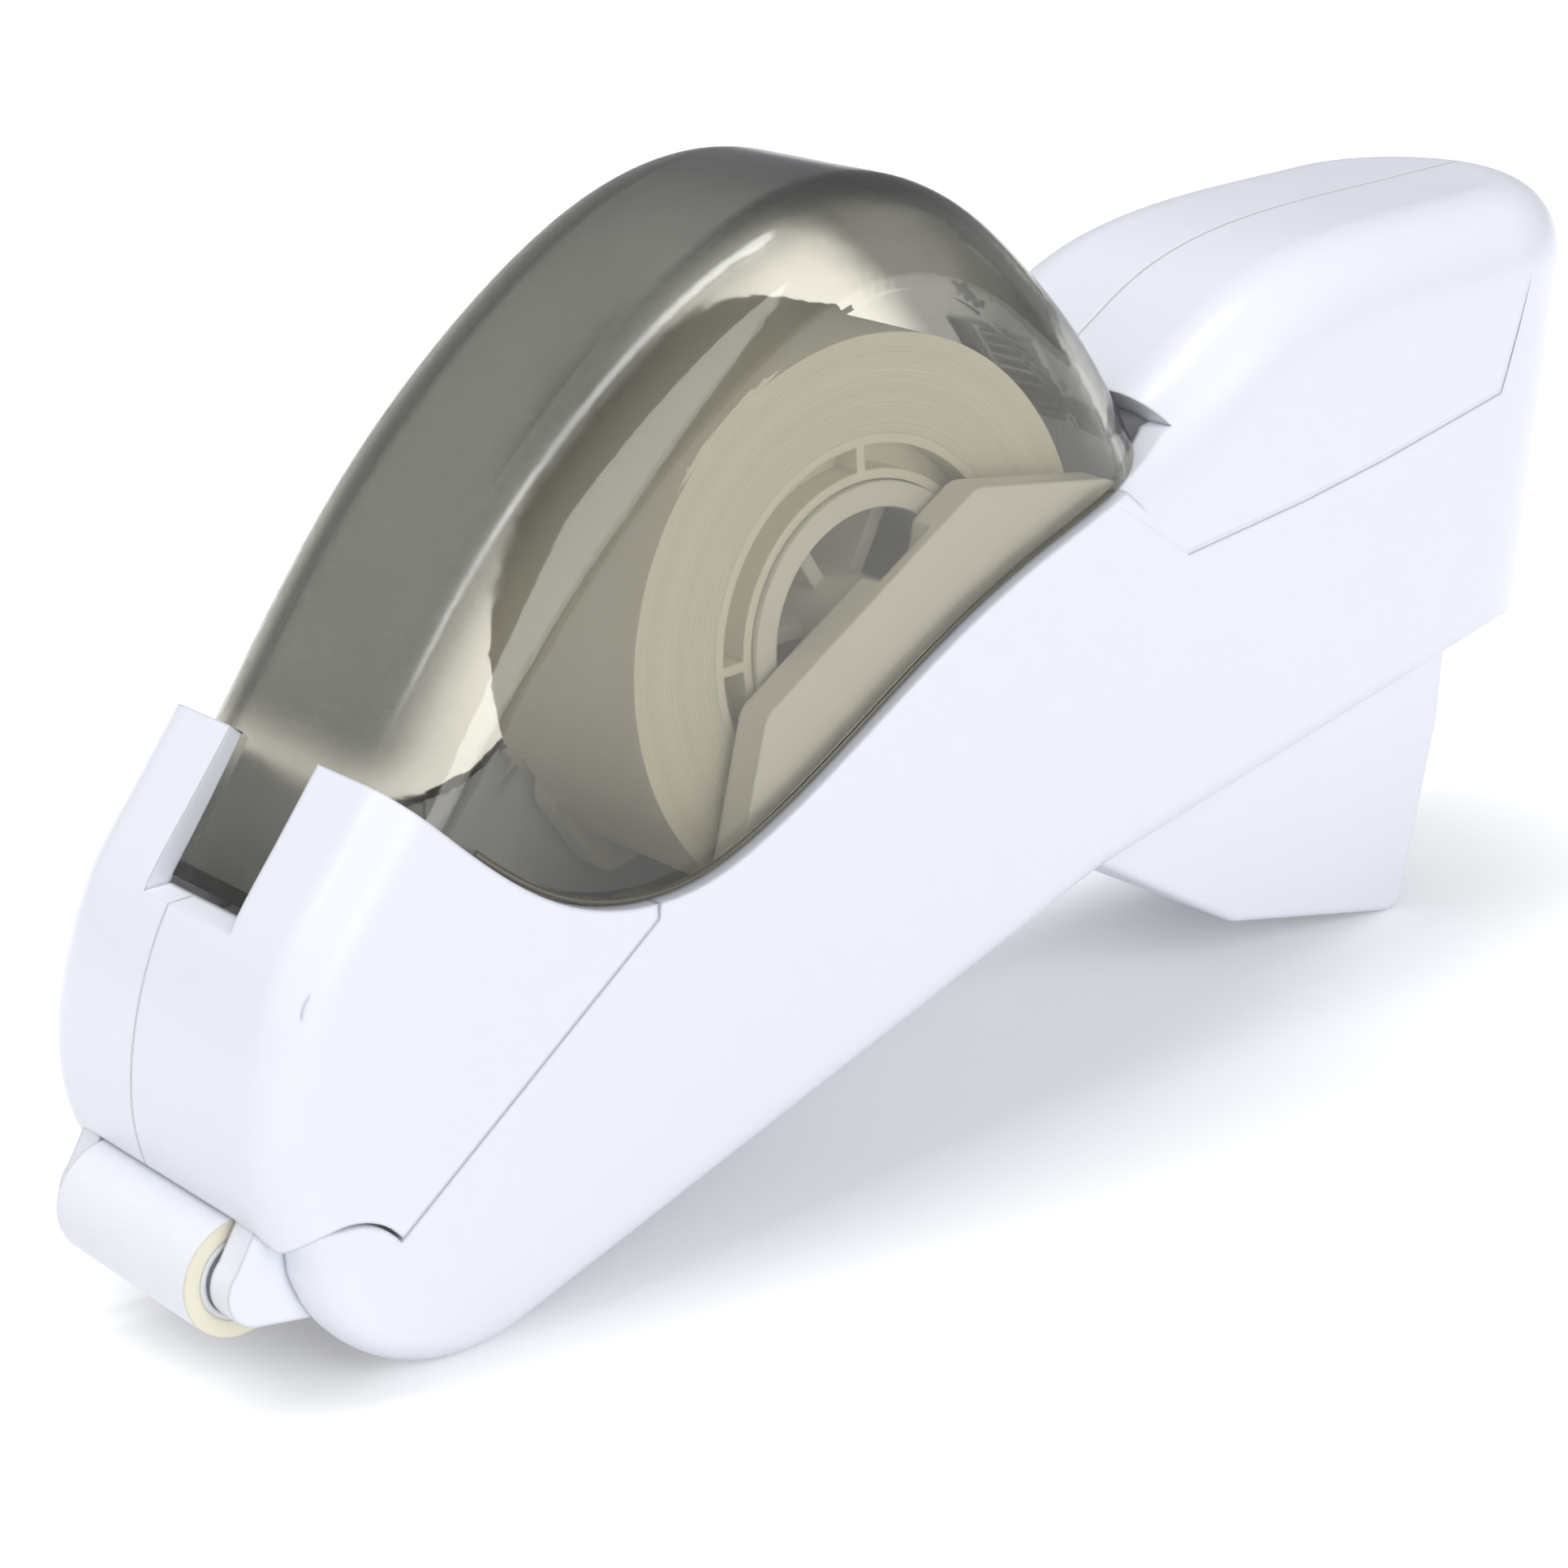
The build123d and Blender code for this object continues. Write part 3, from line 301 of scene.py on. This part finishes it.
def off_white(name, low, high, rough, rounding):
    """Satin off-white moulding of the inner pieces."""
    finish = Finish(name)
    skin = finish.use(MOULDED_SKIN, Grain=0.08)
    finish.feed("Base Color", tint(finish.tree, skin["Drift"], low, high))
    finish.feed("Roughness", band(finish.tree, skin["Marks"], 0.0, 1.0, rough, rough + 0.1))
    finish.relief(skin["Height"], 0.00004, 0.8, rounding)
    return finish.material


def smoked_shell():
    """Grey-olive see-through moulding with fine flow marks; its crown is painted dark as painted shade
    of the shadowed inside, and painted lighter below the tongue's top.
    """
    finish = Finish("smoked_polycarbonate", Transmission_Weight=1.0, IOR=1.5)
    skin = finish.use(MOULDED_SKIN, Grain=0.06)
    split = finish.tree.nodes.new("ShaderNodeSeparateXYZ")
    finish.tree.links.new(finish.place, split.inputs[0])
    away = math_node(finish.tree, "ABSOLUTE", split.outputs["Y"])
    side = band(finish.tree, away, CROWN_FLAT, CROWN_END, 0.0, 1.0)
    flow = tint(finish.tree, skin["Drift"], (0.95, 0.94, 0.90), (0.99, 0.98, 0.95))
    # Painted shade: between the flat sides the crown is painted dark for the shadowed inside seen
    # through it, and painted lighter below the tongue's top.
    low = band(finish.tree, split.outputs["Z"], TONGUE_TOP - 0.004, TONGUE_TOP, 0.0, 1.0)
    crown_painted_shade = tint(finish.tree, low, (0.74, 0.73, 0.69), (0.225, 0.23, 0.225))
    finish.feed("Base Color", tint(finish.tree, side, crown_painted_shade, flow))
    gloss = band(finish.tree, skin["Marks"], 0.0, 1.0, 0.015, 0.05)
    haze = math_node(finish.tree, "MULTIPLY", math_node(finish.tree, "SUBTRACT", 1.0, side), 0.16)
    finish.feed("Roughness", math_node(finish.tree, "ADD", gloss, haze))
    finish.relief(skin["Height"], 0.00002, 0.35)
    smoke = finish.tree.nodes.new("ShaderNodeVolumeAbsorption")
    smoke.inputs["Color"].default_value = (0.46, 0.42, 0.27, 1.0)
    smoke.inputs["Density"].default_value = SMOKE_DENSITY
    finish.tree.links.new(smoke.outputs["Volume"], finish.tree.nodes["Material Output"].inputs["Volume"])
    return finish.material


def dark_lip():
    """Thick smoked plastic seen edge on."""
    finish = Finish("smoked_lip", IOR=1.5, Coat_Weight=0.3)
    skin = finish.use(MOULDED_SKIN, Grain=0.1)
    finish.feed("Base Color", tint(finish.tree, skin["Drift"], (0.09, 0.085, 0.06), (0.15, 0.14, 0.10)))
    finish.feed("Roughness", band(finish.tree, skin["Marks"], 0.0, 1.0, 0.12, 0.25))
    finish.relief(skin["Height"], 0.00003, 0.5)
    return finish.material


def wound_film():
    """Cream matte film whose layers show as fine rings on the roll's faces."""
    finish = Finish("wound_film", Subsurface_Weight=0.2, Subsurface_Scale=0.002)
    rings = finish.use(WINDING_RINGS, finish.centred(REEL_AXIS))
    cream = tint(finish.tree, rings["Bands"], (0.80, 0.76, 0.62), (0.90, 0.87, 0.75))
    finish.feed("Base Color", tint(finish.tree, band(finish.tree, rings["Layers"], 0.42, 0.5, 0.5, 0.0),
                                   cream, (0.74, 0.70, 0.56)))
    finish.feed("Roughness", band(finish.tree, rings["Bands"], 0.3, 0.7, 0.38, 0.52))
    finish.relief(rings["Layers"], 0.00002, 0.4)
    return finish.material


def roller_rubber():
    """White soft sleeve, cream on its cut ends."""
    finish = Finish("roller_sleeve", Subsurface_Weight=0.1, Subsurface_Scale=0.001)
    skin = finish.use(MOULDED_SKIN, Grain=0.9)
    split = finish.tree.nodes.new("ShaderNodeSeparateXYZ")
    finish.tree.links.new(finish.place, split.inputs[0])
    away = math_node(finish.tree, "ABSOLUTE", split.outputs["Y"])
    cut = band(finish.tree, away, ROLLER_END_Y, ROLLER_END_Y + 0.00008, 0.0, 1.0)
    white = tint(finish.tree, skin["Drift"], (0.84, 0.86, 0.92), (0.88, 0.89, 0.94))
    finish.feed("Base Color", tint(finish.tree, cut, white, (0.84, 0.80, 0.64)))
    finish.feed("Roughness", band(finish.tree, skin["Marks"], 0.0, 1.0, 0.45, 0.58))
    finish.relief(skin["Height"], 0.00005, 0.8, 0.0004)
    return finish.material


def drawn_steel(name, along):
    """Bright steel with fine lines along one direction."""
    finish = Finish(name, Metallic=1.0)
    mapping = finish.tree.nodes.new("ShaderNodeMapping")
    mapping.inputs["Scale"].default_value = along
    finish.tree.links.new(finish.place, mapping.inputs["Vector"])
    lines = noise(finish.tree, mapping.outputs["Vector"], 1.0, 3.0)
    finish.feed("Base Color", tint(finish.tree, lines, (0.62, 0.63, 0.65), (0.74, 0.75, 0.77)))
    finish.feed("Roughness", band(finish.tree, lines, 0.2, 0.8, 0.2, 0.38))
    finish.relief(lines, 0.00002, 0.6)
    return finish.material


def dress(names, material):
    """One material on the CAD pieces of these names."""
    for name in names:
        nodes[name].data.materials.clear()
        nodes[name].data.materials.append(material)


SMOKED = smoked_shell()
DARK_LIP = dark_lip()
dress(["body_shell_left", "body_shell_right", "trigger"], white_shell("white_body", 0.0, 0.00010))
dress(["nose_cover_left", "nose_cover_right"], white_shell("white_nose", NOSE_SEAM_Y, 0.00008))
dress(["smoked_cover", "latch_tab"], SMOKED)
dress(["reel_cheek_left", "reel_cheek_right"],
      off_white("cheek_plastic", (0.92, 0.90, 0.82), (0.95, 0.93, 0.86), 0.38, 0.0005))
dress(["tape_hub"], off_white("hub_plastic", (0.80, 0.78, 0.72), (0.85, 0.83, 0.77), 0.35, 0.0003))
dress(["tape_core"], off_white("core_plastic", (0.84, 0.80, 0.68), (0.89, 0.86, 0.74), 0.36, 0.0003))
dress(["press_roller_core", "roller_axle"],
      off_white("roller_core", (0.80, 0.81, 0.84), (0.84, 0.85, 0.88), 0.35, 0.0003))
dress(["push_rod", "cutter_arm", "guide_roller"],
      off_white("inner_plastic", (0.80, 0.80, 0.77), (0.84, 0.84, 0.81), 0.42, 0.0003))
dress(["tape_winding", "tape_web"], wound_film())
dress(["press_roller_sleeve"], roller_rubber())
dress(["hinge_pins", "guide_axle", "cutter_pin", "trigger_pin", "body_screws", "cheek_screws",
       "nose_screws", "blade_rivets"], drawn_steel("drawn_steel", (6000.0, 300.0, 6000.0)))
dress(["cutter_blade"], drawn_steel("blade_steel", (300.0, 9000.0, 300.0)))
dress(["trigger_spring"], drawn_steel("spring_wire", (900.0, 900.0, 5000.0)))


# Pieces that the solids leave plain
def finished(name, mesh, material, body):
    """A piece from its mesh, on the body that carries it."""
    data = bpy.data.meshes.new(name)
    mesh.to_mesh(data)
    mesh.free()
    data.materials.append(material)
    piece = bpy.data.objects.new(name, data)
    scene.collection.objects.link(piece)
    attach(piece, body)
    return piece


def cover_arrow():
    """A low arrow on the cover that points down to the latch."""
    mesh = bmesh.new()
    outline = [(-1.0, 0.0), (-1.0, 2.0), (-2.1, 2.0), (0.0, 4.2), (2.1, 2.0), (1.0, 2.0), (1.0, 0.0)]
    face = mesh.faces.new([mesh.verts.new((x * MM, y * MM, 0.0)) for x, y in outline])
    raised = bmesh.ops.extrude_face_region(mesh, geom=[face])
    top = [v for v in raised["geom"] if isinstance(v, bmesh.types.BMVert)]
    bmesh.ops.translate(mesh, vec=(0.0, 0.0, ARROW_HEIGHT), verts=top)
    bmesh.ops.recalc_face_normals(mesh, faces=mesh.faces)
    rim = [e for e in mesh.edges if all(v in top for v in e.verts)]
    bmesh.ops.bevel(mesh, geom=rim, offset=0.12 * MM, affect="EDGES", segments=2, profile=0.5,
                    material=-1)
    down = Vector((0.65, 0.0, -0.76)).normalized()
    out = Vector((0.76, 0.0, 0.65)).normalized()
    turn = Matrix((down.cross(out), down, out)).transposed().to_4x4()
    start = LATCH_ROOT - down * 6.2 * MM - out * 0.15 * MM
    mesh.transform(Matrix.Translation(start) @ turn)
    bmesh.ops.recalc_face_normals(mesh, faces=mesh.faces)
    return finished("cover_arrow", mesh, SMOKED, "lid")


def rim_bead(side):
    """The dark lip along the lower edge of the cover's flat side."""
    heights = []
    for vertex in nodes["smoked_cover"].data.vertices:
        x, y, z = vertex.co / MM
        x = round(x - REEL_X, 2)
        if side * y < COVER_HALF / MM - 0.02:
            continue
        for (x0, z0), (x1, z1) in zip(RIM, RIM[1:]):
            if x0 <= x < x1 and abs(z - z0 - (z1 - z0) * (x - x0) / (x1 - x0)) < 0.8:
                heights.append((x, z))
    curve = bpy.data.curves.new("rim_path", "CURVE")
    curve.dimensions = "3D"
    curve.bevel_depth = RIM_BEAD_R
    curve.bevel_resolution = 3
    curve.use_fill_caps = True
    spline = curve.splines.new("POLY")
    path = sorted(dict(heights).items())
    spline.points.add(len(path) - 1)
    for point, (x, z) in zip(spline.points, path):
        point.co = ((x + REEL_X) * MM, side * (COVER_HALF - 0.2 * MM), (z + 0.25) * MM, 1.0)
    holder = bpy.data.objects.new("rim_path", curve)
    mesh = bmesh.new()
    mesh.from_mesh(holder.to_mesh())
    bpy.data.objects.remove(holder)
    bmesh.ops.recalc_face_normals(mesh, faces=mesh.faces)
    for face in mesh.faces:
        face.smooth = True
    name = "rim_bead_left" if side < 0 else "rim_bead_right"
    return finished(name, mesh, DARK_LIP, "lid")


def press_spring():
    """The trigger's spring, which shortens under its shelf as the trigger swings up, gets a mesh of its
    own.
    """
    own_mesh(nodes["trigger_spring"])


cover_arrow()
rim_bead(-1)
rim_bead(1)
press_spring()


# Camera at the photograph's viewing angle
def place_camera():
    """The camera, from its place and its right, up and back directions."""
    data = bpy.data.cameras.new("camera")
    data.sensor_width = CAMERA_SENSOR
    data.lens = CAMERA_LENS
    data.clip_start = 0.01
    camera = bpy.data.objects.new("camera", data)
    right = Vector((0.7554, -0.6539, -0.041))
    up = Vector((0.2678, 0.2511, 0.9302))
    back = Vector((-0.598, -0.7137, 0.3648))
    turn = Matrix((right, up, back)).transposed().to_4x4()
    camera.matrix_world = Matrix.Translation(CAMERA_PLACE) @ turn
    scene.collection.objects.link(camera)
    scene.camera = camera


# Floor and light
def lay_floor():
    """A plain pale floor with a painted glow that grows with distance from the object, so it looks white
    away from the object and keeps its shadow only near it.
    """
    mesh = bmesh.new()
    bmesh.ops.create_grid(mesh, x_segments=8, y_segments=8, size=FLOOR_SIZE)
    data = bpy.data.meshes.new("floor")
    mesh.to_mesh(data)
    mesh.free()
    finish = Finish("pale_floor", Specular_IOR_Level=0.1)
    shade = noise(finish.tree, finish.place, 3.0, 2.0)
    finish.feed("Base Color", tint(finish.tree, shade, (0.93, 0.935, 0.95), (0.95, 0.955, 0.965)))
    finish.feed("Roughness", band(finish.tree, shade, 0.2, 0.8, 0.75, 0.9))
    rays = finish.tree.nodes.new("ShaderNodeLightPath")
    length = finish.tree.nodes.new("ShaderNodeVectorMath")
    length.operation = "LENGTH"
    finish.tree.links.new(finish.place, length.inputs[0])
    # Painted light: the floor glows faintly under the object and strongly beyond 16 cm, washing out the
    # shadow farther off.
    painted_glow_by_distance = band(finish.tree, length.outputs["Value"], 0.02, 0.16, 0.06, 0.7)
    finish.shader.inputs["Emission Color"].default_value = (1.0, 1.0, 1.0, 1.0)
    seen = math_node(finish.tree, "ADD", rays.outputs["Is Camera Ray"], rays.outputs["Is Glossy Ray"])
    seen = math_node(finish.tree, "ADD", seen, rays.outputs["Is Transmission Ray"])
    seen.node.use_clamp = True
    finish.feed("Emission Strength", math_node(finish.tree, "MULTIPLY", seen, painted_glow_by_distance))
    data.materials.append(finish.material)
    floor = bpy.data.objects.new("floor", data)
    scene.collection.objects.link(floor)


def softbox(name, place, aim, size, power, turn=0.0):
    """A rectangular soft lamp that looks at a point, turned about its own axis."""
    data = bpy.data.lights.new(name, "AREA")
    data.shape = "RECTANGLE"
    data.size, data.size_y = size
    data.energy = power
    lamp = bpy.data.objects.new(name, data)
    lamp.location = place
    face = (Vector(aim) - Vector(place)).to_track_quat("-Z", "Y").to_matrix()
    lamp.rotation_euler = (face @ Matrix.Rotation(turn, 3, "Z")).to_euler()
    scene.collection.objects.link(lamp)


def light_studio():
    """Soft light all round, dimmer behind the handle, with a lamp in front and a softbox overhead
    whose reflection runs along the cover."""
    world = bpy.data.worlds.new("studio")
    scene.world = world
    world.use_nodes = True
    tree = world.node_tree
    coordinates = tree.nodes.new("ShaderNodeTexCoord")
    split = tree.nodes.new("ShaderNodeSeparateXYZ")
    tree.links.new(coordinates.outputs["Generated"], split.inputs[0])
    height = band(tree, split.outputs["Z"], -0.1, 0.9, 0.0, 1.0)
    sky = tint(tree, height, (0.56, 0.565, 0.58), (0.50, 0.505, 0.515))
    behind = band(tree, split.outputs["X"], 0.1, 0.9, 0.0, 1.0)
    sky = tint(tree, behind, sky, (0.24, 0.245, 0.27))
    tree.links.new(sky, tree.nodes["Background"].inputs["Color"])
    softbox("top_softbox", (-0.40, 0.16, 0.85), (-0.40, 0.16, 0.0), (1.15, 0.12), 4.3, -0.32)
    softbox("front_fill", (-0.10, -1.2, 0.60), (0.0, 0.0, 0.03), (0.90, 0.90), 7.0)


place_camera()
lay_floor()
light_studio()
scene.view_settings.view_transform = "Standard"
